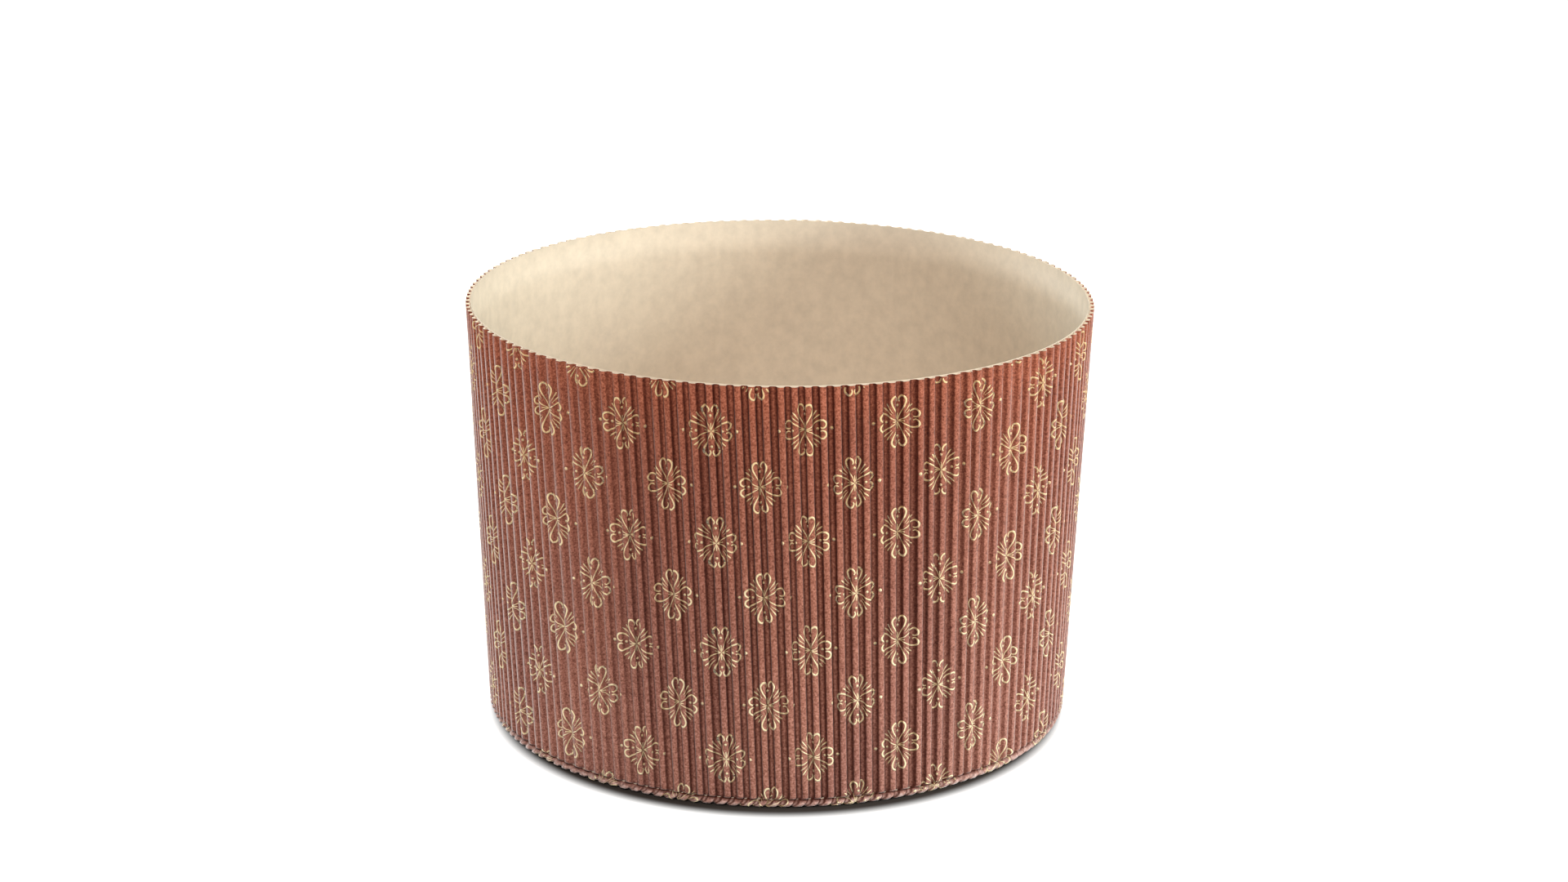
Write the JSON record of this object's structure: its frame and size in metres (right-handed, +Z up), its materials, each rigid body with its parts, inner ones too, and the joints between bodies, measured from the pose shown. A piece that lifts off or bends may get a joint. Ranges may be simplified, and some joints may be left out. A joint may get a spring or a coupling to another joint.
{
  "type": "paper baking mold",
  "caption": "Round open paper baking mould with a fluted brown wall folded under at the foot and a loose flat base disc, free-standing and empty.",
  "frame": {"origin": "centre of the base on the surface that the mould stands on", "axes": "+Z up through the middle of the open top; -Y faces the camera of the picture and +Y the glued lap in the wall"},
  "size_m": [0.1622, 0.1629, 0.11],
  "materials": {
    "brown_paper": "matte",
    "cream_paper": "satin",
    "gold_ink": "satin",
    "disc_board": "matte"
  },
  "bodies": {
    "root": {"fluted_wall": "brown_paper", "base_disc": "disc_board"}
  },
  "joints": []
}
